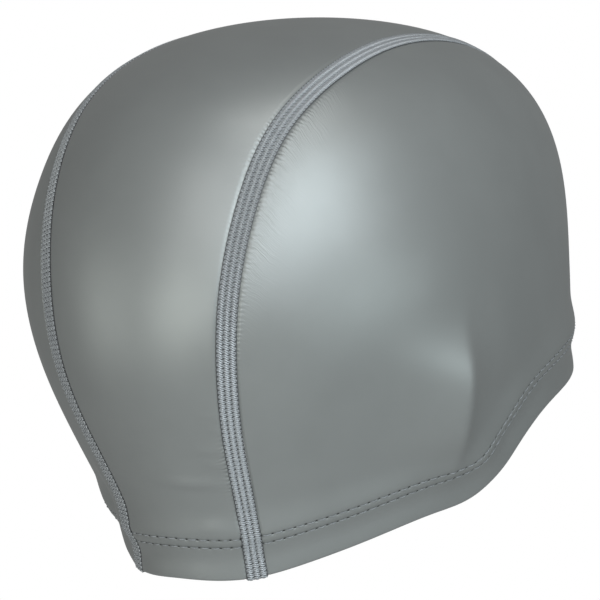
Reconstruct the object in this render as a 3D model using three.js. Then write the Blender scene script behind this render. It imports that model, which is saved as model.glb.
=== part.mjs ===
// Swim cap of coated stretch fabric, with the form it has when it is worn.
// A centre panel runs from the forehead over the crown to the nape, with a side panel on each side.
// Two flat seam bands join them, and a turned hem of doubled cloth runs round the rim.
//
// Millimetres, +Z up. The face looks along -Y, and the wearer's left is +X.
// The origin is the point where the crown of the head touches the inside of the cap.
import * as THREE from 'three';
import { mergeVertices } from 'three/addons/utils/BufferGeometryUtils.js';

// Driving dimensions
const CAP_DEPTH = 158.6; // straight down from the crown to the rim at the nape
const HEAD_HALF_LENGTH = 95.5; // half the inside length, front to back, where it is longest
const HEAD_HALF_WIDTH = 74.5; // half the inside width where it is widest
const CENTRE_HALF_WIDTH = 36.5; // middle of the cap to the middle of a seam, just behind the crown
const CLOTH_WALL = 1.0; // one layer of coated cloth
const TURNED_WALL = 1.0; // the second layer, turned up on the inside of the rim
const HEM_HEIGHT = 15; // rim to the cut edge of the turned layer, along the cloth
const HEM_CUT_RUN = 0.8; // length over which that cut edge slopes away
const HEM_SWELL = 1.2; // how far the cloth stands out over the stitched top of the hem
const SEAM_BAND_WIDTH = 5.3; // a seam band on the body of the cap
const SEAM_BAND_SPREAD = 0.08; // how much wider it gets towards the rim, as a share of its width
const SEAM_BAND_PROUD = 0.25; // how far the band's threads stand out from the cloth, on both faces
const SEAM_CLEARANCE = 0.3; // between a seam band and the panels on both sides of it
const SEAM_END_REACH = 0.5; // how far a band reaches past the rim
const EAR_RIDGE_HEIGHT = 2.6; // the cloth is pushed out where it crosses the ear
const EAR_RIDGE_SPREAD = 11; // distance over which the ridge falls away on each side
const EAR_RIDGE_ROUND = 1.2; // rounding of its crest
const DENT_DEPTH = 1.5; // the deepest dent of the cloth
const DENT_SPREAD = 10; // the reach of the widest dent

// Level sections of the head's form inside the cap, by angle from the crown on a guiding sphere.
// drop is a share of CAP_DEPTH, length and centre are shares of HEAD_HALF_LENGTH,
// width is a share of HEAD_HALF_WIDTH, and egg is how much narrower the back is than the front.
const SECTIONS = table(['angle', 'drop', 'length', 'centre', 'width', 'egg'], [
  [0, 0, 0, 0, 0, 0],
  [20, 0.035, 0.505, 0, 0.47, 0],
  [40, 0.136, 0.84, 0.015, 0.78, 0],
  [60, 0.283, 0.975, 0.045, 0.94, 0],
  [80, 0.453, 1, 0.085, 1, 0.02],
  [100, 0.63, 0.99, 0.06, 0.96, 0.09],
  [120, 0.805, 0.915, 0, 0.87, 0.2],
  [140, 0.975, 0.825, -0.045, 0.75, 0.28],
  [160, 1.145, 0.775, -0.075, 0.67, 0.3],
]);

// The rim, by degrees round from the nape: drop is a share of CAP_DEPTH.
const RIM = table(['azimuth', 'drop'], [
  [0, 1],
  [30, 0.996],
  [45, 0.97],
  [60, 0.933],
  [75, 0.894],
  [85, 0.866],
  [90, 0.83],
  [96, 0.77],
  [104, 0.72],
  [114, 0.693],
  [130, 0.67],
  [155, 0.625],
  [180, 0.605],
]);

// The seams, by angle over the crown with the back as plus: right and left are how far each seam
// stands from the middle of the cap, as shares of CENTRE_HALF_WIDTH.
const SEAM = table(['angle', 'right', 'left'], [
  [-110, 0.74, 0.74],
  [-80, 0.78, 0.78],
  [-50, 0.81, 0.82],
  [-15, 0.87, 0.89],
  [5, 0.94, 0.96],
  [20, 0.98, 1.02],
  [40, 0.94, 1],
  [60, 0.897, 0.935],
  [80, 0.85, 0.825],
  [100, 0.78, 0.73],
  [115, 0.7, 0.59],
  [128, 0.635, 0.47],
  [142, 0.57, 0.475],
  [155, 0.53, 0.49],
]);

// How the cloth stands out along the hem: height over the rim is a share of HEM_HEIGHT, and
// swell is a share of HEM_SWELL.
const SWELL = table(['height', 'swell'], [
  [0, 0.58],
  [0.2, 0.35],
  [0.47, -0.1],
  [0.73, 0.35],
  [1, 1],
  [1.2, 0.7],
  [1.5, 0.1],
  [1.8, 0],
  [2.2, 0],
]);

// Dents and bulges: side is -1 right, +1 left, 0 both. azimuth is in degrees from the nape, drop a
// share of CAP_DEPTH, across and along shares of DENT_SPREAD, and rise a share of DENT_DEPTH.
const DENTS = table(['side', 'azimuth', 'drop', 'across', 'along', 'rise'], [
  [0, 85, 0.795, 0.5, 0.35, 0.8],
  [0, 97, 0.66, 0.9, 0.6, -0.5],
  [1, 34, 0.88, 0.45, 0.75, -1],
  [-1, 36, 0.85, 0.6, 0.4, -0.2],
]);

// The ear ridge stands at this azimuth, between these drops, which are shares of CAP_DEPTH.
const EAR_RIDGE = { azimuth: 79.5, top: 0.565, bottom: 0.79, fade: 0.035 };

// Mesh density
const FOLD_ANGLES = [15, 40, 65, 90].map(THREE.MathUtils.degToRad); // round the rolled rim
const HEM_ROW_SHARES = [0.2, 0.47, 0.73, 1]; // of HEM_HEIGHT, above the rolled rim
const SIDE_COLUMNS = 36;
const SIDE_ROWS = 11;
const SIDE_ROW_EASE = 0.4; // rows stand closer above the hem
const CENTRE_COLUMNS = 8;
const CENTRE_ROWS = 34;
const CENTRE_ROW_EASE = 0.5; // rows stand closer above the hem at both ends
const BAND_COLUMNS = 3;
const LINE_PARTS = 4; // steps for each column when a hem line is laid out
const LINE_SLACK = 0.98; // a hem line keeps the points that are this share of its height away
const GUIDE_STEP = 1e-3; // step on the guiding sphere for slopes
const RIM_STEP = 0.25; // degrees to each side for the run of the rim
const HEM_WALK_PARTS = 3; // steps in the way up from the rim
const RIM_POINTS = 360; // points of the rim that a distance is measured to
const SOLVE_STEPS = 24;
const SEAM_SEARCH = { nape: [0, 70], front: [180, 110] }; // rim degrees that hold a seam's end
const WIDEST_LEAN = 0.99; // how far sideways a seam's guide may turn, as a sine
const END_PULL = 4; // how soon the rows over the crown let go of the hem's shape

// Colours and finish
const COATED_CLOTH = { color: 0x8c9694, roughness: 0.36, metalness: 0.0 };
const CENTRE_CLOTH = { color: 0x889290, roughness: 0.38, metalness: 0.0 };
const SEAM_THREADS = { color: 0x9aa5a6, roughness: 0.8, metalness: 0.0 };

// Named columns for a short table.
function table(columns, rows) {
  return rows.map((row) => Object.fromEntries(columns.map((name, i) => [name, row[i]])));
}

// A natural cubic curve through the given places.
function smoothCurve(xs, ys) {
  const last = xs.length - 1;
  const bend = new Array(last + 1).fill(0);
  const pivot = new Array(last + 1).fill(0);
  const lead = new Array(last + 1).fill(0);
  for (let i = 1; i < last; i++) {
    const before = xs[i] - xs[i - 1];
    const after = xs[i + 1] - xs[i];
    const slopeChange = (ys[i + 1] - ys[i]) / after - (ys[i] - ys[i - 1]) / before;
    pivot[i] = 2 * (before + after) - before * lead[i - 1];
    lead[i] = after / pivot[i];
    bend[i] = (3 * slopeChange - before * bend[i - 1]) / pivot[i];
  }
  bend[last] = 0;
  for (let i = last - 1; i > 0; i--) bend[i] -= lead[i] * bend[i + 1];
  return (x) => {
    let i = 0;
    while (i < last - 1 && x > xs[i + 1]) i++;
    const gap = xs[i + 1] - xs[i];
    const slope = (ys[i + 1] - ys[i]) / gap - (gap * (2 * bend[i] + bend[i + 1])) / 3;
    const d = x - xs[i];
    return ys[i] + slope * d + bend[i] * d * d + ((bend[i + 1] - bend[i]) / (3 * gap)) * d * d * d;
  };
}

// The same curve carried on as its mirror image before the first row, upright or turned over.
function mirroredCurve(rows, along, value, size, sign) {
  const rest = rows.slice(1);
  const xs = [...rest.map((row) => -row[along]).reverse(), ...rows.map((row) => row[along])];
  const ys = [...rest.map((row) => sign * row[value]).reverse(), ...rows.map((row) => row[value])];
  return smoothCurve(xs, ys.map((y) => y * size));
}

const dropAt = mirroredCurve(SECTIONS, 'angle', 'drop', CAP_DEPTH, 1);
const halfLengthAt = mirroredCurve(SECTIONS, 'angle', 'length', HEAD_HALF_LENGTH, -1);
const centreAt = mirroredCurve(SECTIONS, 'angle', 'centre', HEAD_HALF_LENGTH, 1);
const halfWidthAt = mirroredCurve(SECTIONS, 'angle', 'width', HEAD_HALF_WIDTH, -1);
const eggAt = mirroredCurve(SECTIONS, 'angle', 'egg', 1, 1);
const seamAngles = SEAM.map((row) => row.angle);
const seamHalves = [-1, 1].map((side) => {
  const shares = SEAM.map((row) => (side < 0 ? row.right : row.left));
  return smoothCurve(seamAngles, shares.map((share) => share * CENTRE_HALF_WIDTH));
});
const rimRound = [
  ...RIM.slice(1).map((row) => ({ ...row, azimuth: -row.azimuth })).reverse(),
  ...RIM,
  ...RIM.slice(0, -1).map((row) => ({ ...row, azimuth: 360 - row.azimuth })).reverse(),
];
const rimDropFrom = smoothCurve(
  rimRound.map((row) => row.azimuth),
  rimRound.map((row) => row.drop * CAP_DEPTH),
);

// A direction on the guiding sphere, from the crown angle and the azimuth round from the nape.
function direction(angle, azimuth) {
  const [down, round] = [angle, azimuth].map(THREE.MathUtils.degToRad);
  return new THREE.Vector3(
    Math.sin(down) * Math.sin(round),
    Math.sin(down) * Math.cos(round),
    Math.cos(down),
  );
}

function azimuthOf(guide) {
  return THREE.MathUtils.radToDeg(Math.atan2(guide.x, guide.y));
}

// Angle over the crown in the middle plane, with the back as plus.
function angleOverCrown(guide) {
  return THREE.MathUtils.radToDeg(Math.atan2(guide.y, guide.z));
}

// The inside of the cap, where it lies on the head.
function headPoint(guide) {
  const angle = THREE.MathUtils.radToDeg(Math.atan2(Math.hypot(guide.x, guide.y), guide.z));
  const round = Math.hypot(guide.x, guide.y) || 1;
  const sideways = guide.x / round;
  const backwards = guide.y / round;
  return new THREE.Vector3(
    halfWidthAt(angle) * sideways * (1 - eggAt(angle) * backwards),
    centreAt(angle) + halfLengthAt(angle) * backwards,
    -dropAt(angle),
  );
}

// Slopes of the head's surface along two steps across the guiding sphere, and its outward normal.
function headFrame(guide) {
  const helper = Math.abs(guide.x) < 0.9 ? new THREE.Vector3(1, 0, 0) : new THREE.Vector3(0, 1, 0);
  const steps = [new THREE.Vector3().crossVectors(guide, helper).normalize()];
  steps.push(new THREE.Vector3().crossVectors(guide, steps[0]));
  const slopes = steps.map((step) => {
    const ahead = headPoint(guide.clone().addScaledVector(step, GUIDE_STEP).normalize());
    const behind = headPoint(guide.clone().addScaledVector(step, -GUIDE_STEP).normalize());
    return ahead.sub(behind).divideScalar(2 * GUIDE_STEP);
  });
  const normal = new THREE.Vector3().crossVectors(slopes[0], slopes[1]).normalize();
  if (normal.dot(guide) < 0) normal.negate();
  return { steps, slopes, normal };
}

// Moves a guide so that its point on the head travels along the surface by the given vector.
function travel(guide, way) {
  const { steps, slopes } = headFrame(guide);
  const [aa, ab, bb] = [slopes[0].dot(slopes[0]), slopes[0].dot(slopes[1]), slopes[1].dot(slopes[1])];
  const [wa, wb] = [way.dot(slopes[0]), way.dot(slopes[1])];
  const size = aa * bb - ab * ab;
  return guide
    .clone()
    .addScaledVector(steps[0], (wa * bb - wb * ab) / size)
    .addScaledVector(steps[1], (wb * aa - wa * ab) / size)
    .normalize();
}

function rimGuide(azimuth) {
  const drop = rimDropFrom(Math.abs(azimuth));
  let low = 0;
  let high = SECTIONS.at(-1).angle;
  for (let i = 0; i < SOLVE_STEPS; i++) {
    const middle = (low + high) / 2;
    if (dropAt(middle) > drop) high = middle;
    else low = middle;
  }
  return direction((low + high) / 2, azimuth);
}

// The guide of the point that lies the given distance above the rim, square to it.
function hemGuide(azimuth, height) {
  const ahead = headPoint(rimGuide(azimuth + RIM_STEP));
  const along = ahead.sub(headPoint(rimGuide(azimuth - RIM_STEP)));
  let guide = rimGuide(azimuth);
  for (let i = 0; i < HEM_WALK_PARTS; i++) {
    const up = new THREE.Vector3().crossVectors(headFrame(guide).normal, along).normalize();
    if (up.z < 0) up.negate();
    guide = travel(guide, up.multiplyScalar(height / HEM_WALK_PARTS));
  }
  return guide;
}

// The guide at an angle over the crown whose point stands that far from the middle of the cap.
function asideGuide(angle, side, half) {
  const over = THREE.MathUtils.degToRad(angle);
  let lean = half / HEAD_HALF_WIDTH;
  let guide;
  for (let i = 0; i < SOLVE_STEPS; i++) {
    const rest = Math.sqrt(1 - lean * lean);
    guide = new THREE.Vector3(side * lean, rest * Math.sin(over), rest * Math.cos(over));
    lean = Math.min(WIDEST_LEAN, (lean * half) / Math.abs(headPoint(guide).x));
  }
  return guide;
}

// How far a seam stands from the middle of the cap at an angle over the crown.
function seamHalf(angle, side) {
  return seamHalves[side < 0 ? 0 : 1](angle);
}

// What a seam line moves aside for each millimetre along the cloth, as the cloth leans there.
const seamLevels = [-1, 1].map((side) => smoothCurve(seamAngles, seamAngles.map((angle) => {
  const { normal } = headFrame(asideGuide(angle, side, seamHalf(angle, side)));
  return Math.hypot(normal.y, normal.z);
})));

// The same for a line beside the seam, the given distance further out along the cloth.
function lineHalf(angle, side, sideways) {
  return seamHalf(angle, side) + sideways * seamLevels[side < 0 ? 0 : 1](angle);
}

function seamGuide(angle, side, sideways) {
  return asideGuide(angle, side, lineHalf(angle, side, sideways));
}

const hemTop = HEM_HEIGHT + HEM_CUT_RUN;
const swellCurve = smoothCurve(
  SWELL.map((row) => row.height * HEM_HEIGHT),
  SWELL.map((row) => row.swell * HEM_SWELL),
);
const rimPoints = between(-180, 180, RIM_POINTS).map((azimuth) => headPoint(rimGuide(azimuth)));

function swellAt(height) {
  return height < SWELL.at(-1).height * HEM_HEIGHT ? swellCurve(Math.max(0, height)) : 0;
}

// How far a point on the head lies from the rim.
function fromRim(point) {
  return Math.min(...rimPoints.map((rim) => rim.distanceTo(point)));
}

// Half the width of a seam band at a height above the rim.
function bandHalf(height) {
  return (SEAM_BAND_WIDTH / 2) * (1 + SEAM_BAND_SPREAD * Math.max(0, 1 - height / hemTop));
}

// The rim azimuth below the point where a seam line, moved sideways, has the given height.
function seamAzimuth(end, side, sideways, height) {
  let [inside, outside] = SEAM_SEARCH[end];
  for (let i = 0; i < SOLVE_STEPS; i++) {
    const middle = (inside + outside) / 2;
    const guide = hemGuide(side * middle, height);
    const half = lineHalf(angleOverCrown(guide), side, sideways);
    if (Math.abs(headPoint(guide).x) > half) outside = middle;
    else inside = middle;
  }
  return (side * (inside + outside)) / 2;
}

// Dents, bulges and the ear ridge, as a distance out along the normal.
function relief(guide) {
  const point = headPoint(guide);
  const azimuth = azimuthOf(guide);
  const drop = -point.z;
  const arc = (from) => THREE.MathUtils.degToRad(Math.abs(azimuth) - from) * HEAD_HALF_WIDTH;
  let out = 0;
  for (const dent of DENTS) {
    if (dent.side * azimuth < 0) continue;
    const across = arc(dent.azimuth) / (dent.across * DENT_SPREAD);
    const along = (drop - dent.drop * CAP_DEPTH) / (dent.along * DENT_SPREAD);
    out += dent.rise * DENT_DEPTH * Math.exp(-(across * across + along * along) / 2);
  }
  const fromCrest = Math.hypot(arc(EAR_RIDGE.azimuth), EAR_RIDGE_ROUND) - EAR_RIDGE_ROUND;
  const fade = EAR_RIDGE.fade * CAP_DEPTH;
  const below = 1 / (1 + Math.exp((EAR_RIDGE.top * CAP_DEPTH - drop) / fade));
  const above = 1 / (1 + Math.exp((drop - EAR_RIDGE.bottom * CAP_DEPTH) / fade));
  return out + EAR_RIDGE_HEIGHT * Math.exp(-fromCrest / EAR_RIDGE_SPREAD) * below * above;
}

// Rows from the rolled edge to the top of the hem: height over the rim, and both faces as
// distances out from the head.
function hemRows(proud, reach) {
  const outside = CLOTH_WALL + proud;
  const inside = TURNED_WALL + proud;
  const radius = (outside + inside) / 2;
  const middle = (outside - inside) / 2;
  const fold = FOLD_ANGLES.map((angle) => ({
    height: radius * (1 - Math.cos(angle)) - reach,
    outer: middle + radius * Math.sin(angle),
    inner: middle - radius * Math.sin(angle),
  }));
  const hem = HEM_ROW_SHARES.map((share) => ({
    height: share * HEM_HEIGHT,
    outer: outside,
    inner: -inside,
  }));
  return [...fold, ...hem, { height: hemTop, outer: outside, inner: -proud }];
}

// Both faces of the cloth at a guide, which lies at the given height where that is known.
function wallAt(guide, outer, inner, height) {
  const point = headPoint(guide);
  const { normal } = headFrame(guide);
  const lift = relief(guide) + swellAt(height ?? fromRim(point));
  return {
    outer: point.clone().addScaledVector(normal, outer + lift),
    inner: point.addScaledVector(normal, inner + lift),
  };
}

// A closed body from a grid of wall points: both faces and the edges all round.
function closedSheet(grid) {
  const rows = grid.length;
  const columns = grid[0].length;
  const positions = [];
  for (const face of ['outer', 'inner']) {
    for (const row of grid) for (const wall of row) positions.push(...wall[face].toArray());
  }
  const outer = (i, j) => i * columns + j;
  const inner = (i, j) => rows * columns + i * columns + j;
  const triangles = [];
  const quad = (a, b, c, d) => triangles.push([a, b, c], [a, c, d]);
  for (let i = 0; i + 1 < rows; i++) {
    for (let j = 0; j + 1 < columns; j++) {
      quad(outer(i, j), outer(i, j + 1), outer(i + 1, j + 1), outer(i + 1, j));
      quad(inner(i, j), inner(i + 1, j), inner(i + 1, j + 1), inner(i, j + 1));
    }
    quad(outer(i, 0), outer(i + 1, 0), inner(i + 1, 0), inner(i, 0));
    const end = columns - 1;
    quad(outer(i, end), inner(i, end), inner(i + 1, end), outer(i + 1, end));
  }
  for (let j = 0; j + 1 < columns; j++) {
    quad(outer(0, j), inner(0, j), inner(0, j + 1), outer(0, j + 1));
    const end = rows - 1;
    quad(outer(end, j), outer(end, j + 1), inner(end, j + 1), inner(end, j));
  }
  const loose = new THREE.BufferGeometry();
  loose.setAttribute('position', new THREE.Float32BufferAttribute(positions, 3));
  loose.setIndex(triangles.flat());
  return facingOut(mergeVertices(loose));
}

// Drops the triangles that have closed up to a line, and turns the body inside out if need be.
function facingOut(geometry) {
  const index = geometry.getIndex().array;
  const position = geometry.getAttribute('position');
  const corner = (i) => new THREE.Vector3().fromBufferAttribute(position, i);
  const kept = [];
  let volume = 0;
  for (let i = 0; i < index.length; i += 3) {
    const [a, b, c] = index.slice(i, i + 3);
    if (a === b || b === c || c === a) continue;
    kept.push([a, b, c]);
    volume += corner(a).dot(corner(b).cross(corner(c)));
  }
  geometry.setIndex((volume > 0 ? kept : kept.map((three) => three.reverse())).flat());
  geometry.computeVertexNormals();
  return geometry;
}

function between(start, end, count) {
  return Array.from({ length: count + 1 }, (_, i) => start + ((end - start) * i) / count);
}

// Part way from one guide to another, along the great circle.
function blend(from, to, share) {
  const turn = from.angleTo(to);
  if (turn < 1e-6 || share === 0) return from.clone();
  return from
    .clone()
    .multiplyScalar(Math.sin((1 - share) * turn) / Math.sin(turn))
    .addScaledVector(to, Math.sin(share * turn) / Math.sin(turn))
    .normalize();
}

// A line at one height above the rim, as evenly spaced guides between two rim azimuths. Where the
// rim bends more tightly than the height, the points that have crossed over are left out.
function hemLine(start, stop, height, columns) {
  const laid = between(start, stop, columns * LINE_PARTS)
    .map((azimuth) => hemGuide(nearAzimuth(azimuth), height))
    .filter((guide, i) => {
      const end = i === 0 || i === columns * LINE_PARTS;
      return end || fromRim(headPoint(guide)) > LINE_SLACK * height;
    });
  const reached = [0];
  for (let i = 1; i < laid.length; i++) {
    reached.push(reached[i - 1] + headPoint(laid[i]).distanceTo(headPoint(laid[i - 1])));
  }
  return between(0, reached.at(-1), columns).map((way, j) => {
    if (j === columns) return laid.at(-1);
    const i = reached.findIndex((next) => next > way) - 1;
    return blend(laid[i], laid[i + 1], (way - reached[i]) / (reached[i + 1] - reached[i]));
  });
}

// Hem rows between two seam lines: from and to name a side and a distance off its seam line.
function hemGrid(end, rows, columns, from, to) {
  return rows.map((row) => {
    const half = bandHalf(row.height);
    const start = seamAzimuth(from.end ?? end, from.side, from.offset(half), row.height);
    let stop = seamAzimuth(to.end ?? end, to.side, to.offset(half), row.height);
    if (end === 'front' && start * stop < 0) stop += 360 * Math.sign(start);
    return hemLine(start, stop, row.height, columns);
  });
}

// The same azimuth within half a turn of the nape.
function nearAzimuth(azimuth) {
  return THREE.MathUtils.euclideanModulo(azimuth + 180, 360) - 180;
}

const outsideBand = (half) => half + SEAM_CLEARANCE;
const insideBand = (half) => -half - SEAM_CLEARANCE;

function walls(guides, rows) {
  return guides.map((line, i) => {
    const { outer, inner, height } = rows[i];
    return line.map((guide) => wallAt(guide, outer, inner, height));
  });
}

// A side panel: the hem from seam to seam, and the field between the hem and the seam above it.
function sidePanel(side) {
  const rows = hemRows(0, 0);
  const from = { side, end: 'nape', offset: outsideBand };
  const to = { side, end: 'front', offset: outsideBand };
  const hem = hemGrid('side', rows, SIDE_COLUMNS, from, to);
  const base = hem.at(-1);
  const ends = [base[0], base.at(-1)].map(angleOverCrown);
  const offset = outsideBand(bandHalf(hemTop));
  const arch = between(ends[0], ends[1], SIDE_COLUMNS).map((angle) => seamGuide(angle, side, offset));
  const field = between(0, 1, SIDE_ROWS).slice(1).map((share) => {
    const eased = share * (1 - SIDE_ROW_EASE * (1 - share));
    return base.map((guide, j) => {
      const corner = j === 0 || j === SIDE_COLUMNS;
      return corner ? guide : blend(guide, arch[j], eased);
    });
  });
  const body = field.map((line) => line.map((guide) => wallAt(guide, CLOTH_WALL, 0)));
  return closedSheet([...walls(hem, rows), ...body]);
}

// A strip over the crown from the front rim to the nape rim, between two lines beside the seams.
function strip(rows, columns, crownRows, edges, outer, inner) {
  const nape = hemGrid('nape', rows, columns, edges[0], edges[1]);
  const front = hemGrid('front', rows, columns, edges[0], edges[1]);
  const half = bandHalf(hemTop);
  const ends = [nape.at(-1), front.at(-1)];
  const shares = between(0, 1, crownRows).map(
    (share) => share - (CENTRE_ROW_EASE * Math.sin(2 * Math.PI * share)) / (2 * Math.PI),
  );
  const sides = edges.map((edge, k) => {
    const angles = ends.map((line) => angleOverCrown(k ? line.at(-1) : line[0]));
    return shares.map((share) =>
      seamGuide(THREE.MathUtils.lerp(...angles, share), edge.side, edge.offset(half)),
    );
  });
  const plain = (i, j) => blend(sides[0][i], sides[1][i], j / columns);
  const crown = shares.slice(1, -1).map((share, k) =>
    ends[0].map((_, j) => {
      const guide = plain(k + 1, j);
      const atNape = ends[0][j].clone().sub(plain(0, j));
      const atFront = ends[1][j].clone().sub(plain(crownRows, j));
      guide.addScaledVector(atNape, (1 - share) ** END_PULL);
      guide.addScaledVector(atFront, share ** END_PULL);
      return wallAt(guide.normalize(), outer, inner);
    }),
  );
  return closedSheet([...walls(nape, rows), ...crown, ...walls(front, rows).reverse()]);
}

function centrePanel() {
  const edges = [-1, 1].map((side) => ({ side, offset: insideBand }));
  return strip(hemRows(0, 0), CENTRE_COLUMNS, CENTRE_ROWS, edges, CLOTH_WALL, 0);
}

function seamBand(side) {
  const rows = hemRows(SEAM_BAND_PROUD, SEAM_END_REACH);
  const edges = [-1, 1].map((sign) => ({ side, offset: (half) => sign * half }));
  const [outer, inner] = [CLOTH_WALL + SEAM_BAND_PROUD, -SEAM_BAND_PROUD];
  return strip(rows, BAND_COLUMNS, CENTRE_ROWS, edges, outer, inner);
}

function piece(name, geometry, finish) {
  const mesh = new THREE.Mesh(geometry, new THREE.MeshStandardMaterial(finish));
  mesh.name = name;
  return mesh;
}

const group = new THREE.Group();
group.add(piece('centre_panel', centrePanel(), CENTRE_CLOTH));
group.add(piece('side_panel_right', sidePanel(-1), COATED_CLOTH));
group.add(piece('side_panel_left', sidePanel(1), COATED_CLOTH));
group.add(piece('seam_right', seamBand(-1), SEAM_THREADS));
group.add(piece('seam_left', seamBand(1), SEAM_THREADS));

export default group;
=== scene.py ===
"""A swim cap of coated stretch cloth, with its sewn seams and hem, as an add-on that is run as a script."""

import math

import bpy
import numpy as np
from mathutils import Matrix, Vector, kdtree


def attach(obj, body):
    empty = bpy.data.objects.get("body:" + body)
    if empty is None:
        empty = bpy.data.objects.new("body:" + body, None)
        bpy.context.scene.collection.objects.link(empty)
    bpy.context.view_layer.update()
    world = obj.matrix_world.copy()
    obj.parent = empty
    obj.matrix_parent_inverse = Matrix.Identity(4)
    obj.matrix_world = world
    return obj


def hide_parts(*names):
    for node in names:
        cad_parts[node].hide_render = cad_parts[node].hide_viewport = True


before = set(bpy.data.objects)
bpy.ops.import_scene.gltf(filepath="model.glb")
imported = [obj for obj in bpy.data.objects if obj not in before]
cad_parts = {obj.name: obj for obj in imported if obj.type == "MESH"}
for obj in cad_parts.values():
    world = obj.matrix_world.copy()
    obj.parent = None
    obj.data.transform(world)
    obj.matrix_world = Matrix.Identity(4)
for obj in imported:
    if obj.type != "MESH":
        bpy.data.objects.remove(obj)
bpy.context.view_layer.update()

bl_info = {
    "name": "Swim cap",
    "version": (1, 0, 0),
    "blender": (4, 5, 0),
    "location": "View3D > Sidebar > Swim cap",
    "description": "Builds the looks of a stretch swim cap round its packed model",
    "category": "Add Mesh",
}

MM = 0.001
BODY = "root"
SIDES = {"right": -1, "left": 1}

# The wall of the cloth, the turned hem, the seam bands and the bulge over each ear
CLOTH_WALL = 1.0 * MM
TURNED_WALL = 1.0 * MM
HEM_HEIGHT = 15.0 * MM
HEM_CUT_RUN = 0.8 * MM
HEM_TOP = HEM_HEIGHT + HEM_CUT_RUN
HEM_SWELL = 1.2 * MM
SEAM_BAND_SPREAD = 0.08
SEAM_CLEARANCE = 0.3 * MM
SEAM_END_REACH = 0.5 * MM
EAR_RIDGE_HEIGHT = 6.6 * MM
EAR_RIDGE_BEHIND = 27.0 * MM
EAR_RIDGE_BEFORE = 5.5 * MM
EAR_RIDGE_ROUND = 0.6 * MM
DENT_DEPTH = 1.5 * MM
DENT_SPREAD = 10.0 * MM

# Density of the cloth's grids, and how their rows and columns are spread
FOLD_STEPS = 8
SIDE_COLUMNS = 340
SIDE_ROWS = 56
CENTRE_COLUMNS = 92
CENTRE_ROWS = 300
BAND_COLUMNS = 8
BAND_ROWS = 300
BAND_HEIGHTS = np.array([2, 4, 6, 8, 10, 12, 14, 15]) * MM
RIM_POINTS = 1440
LINE_PARTS = 3
LINE_SLACK = 0.98
GUIDE_STEP = 1e-3
RIM_STEP = 0.25
NO_TURN = 1e-7
SEAM_END_SEARCH = {"nape": (0.0, 70.0), "front": (180.0, 110.0)}
SOLVE_STEPS = 26
HEM_WALK_PARTS = 3
END_PULL = 4
ROW_EASE = 0.4
ROW_PULL = 1.6
CROWN_EASE = 0.5
SEAM_LINE_ENDS = (150, -125)
SEAM_LINE_POINTS = 1400
WELD = 0.002 * MM
CLOTH_SMOOTH = math.radians(50)
THREAD_SMOOTH = math.radians(60)
ROUNDING = 1e-9


def table(names, rows):
    """A short table as named columns."""
    return {name: np.array(values, float) for name, values in zip(names.split(), zip(*rows))}


# Level sections of the head's form, by angle from the crown: drop is a share of the cap's depth,
# length and centre of half its length, width of half its width, egg how much narrower the back is.
SECTIONS = table("angle drop length centre width egg", [
    (0, 0, 0, 0, 0, 0),
    (20, 0.035, 0.505, 0, 0.47, 0),
    (40, 0.136, 0.84, 0.015, 0.78, 0),
    (60, 0.283, 0.975, 0.045, 0.94, 0),
    (80, 0.453, 1, 0.085, 1, 0.02),
    (100, 0.63, 0.99, 0.06, 0.96, 0.09),
    (120, 0.805, 0.915, 0, 0.87, 0.2),
    (140, 0.975, 0.825, -0.045, 0.75, 0.28),
    (160, 1.145, 0.775, -0.075, 0.67, 0.3),
])

# The rim, by degrees round from the nape
RIM = table("azimuth drop", [
    (0, 1), (30, 0.996), (45, 0.97), (60, 0.933), (75, 0.894), (85, 0.866), (90, 0.83), (96, 0.77),
    (104, 0.72), (114, 0.693), (130, 0.67), (155, 0.625), (180, 0.605),
])

# The seams, by angle over the crown with the back as plus: how far each stands from the middle
SEAM = table("angle right left", [
    (-110, 0.74, 0.74), (-80, 0.78, 0.78), (-50, 0.81, 0.82), (-15, 0.87, 0.89), (5, 0.94, 0.96),
    (20, 0.98, 1.02), (40, 0.94, 1), (60, 0.897, 0.935), (80, 0.85, 0.825), (100, 0.78, 0.73),
    (115, 0.7, 0.59), (128, 0.635, 0.47), (142, 0.57, 0.475), (155, 0.53, 0.49),
])

# How the cloth stands out along the hem, by height over the rim as a share of the hem's height
SWELL = table("height swell", [
    (0, 0.58), (0.2, 0.35), (0.47, -0.1), (0.73, 0.35), (1, 1), (1.2, 0.7), (1.5, 0.1), (1.8, 0),
    (2.2, 0),
])

# Dents and bulges: side is -1 right, +1 left, 0 both. across and along are shares of DENT_SPREAD,
# and rise is one of DENT_DEPTH.
DENTS = table("side azimuth drop across along rise", [
    (0, 85, 0.795, 0.5, 0.35, 0.8),
    (0, 97, 0.66, 0.9, 0.6, -0.5),
    (1, 34, 0.88, 0.45, 0.75, -1),
    (-1, 36, 0.85, 0.6, 0.4, -0.2),
])

# The crest of the bulge over an ear: degrees from the nape, and shares of the cap's depth
EAR_RIDGE = {"azimuth": 75.7, "top": 0.57, "bottom": 0.775, "fade": 0.022}

# Soft folds of the centre panel beside the right seam, low on the nape: azimuth from the nape and
# the rest in millimetres
FOLDS = table("azimuth drop across along rise", [
    (-13, 128.4, 9, 1.3, 0.55), (-19, 142.4, 5, 2.2, 0.6), (-21, 107.5, 3.5, 0.7, 0.16),
    (-22, 112, 3, 0.8, 0.13), (-20.5, 118.4, 4, 0.9, 0.22), (-21.5, 122.6, 3.5, 1, 0.2),
])


def length_prop(name, description, default):
    return bpy.props.FloatProperty(
        name=name, description=description, default=default, min=0, unit="LENGTH", precision=5)


def share_prop(name, description, default, top=1.0):
    return bpy.props.FloatProperty(name=name, description=description, default=default, min=0, max=top)


def colour_prop(name, description, default):
    return bpy.props.FloatVectorProperty(
        name=name, description=description, default=default, min=0, max=1, size=3, subtype="COLOR")


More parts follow.
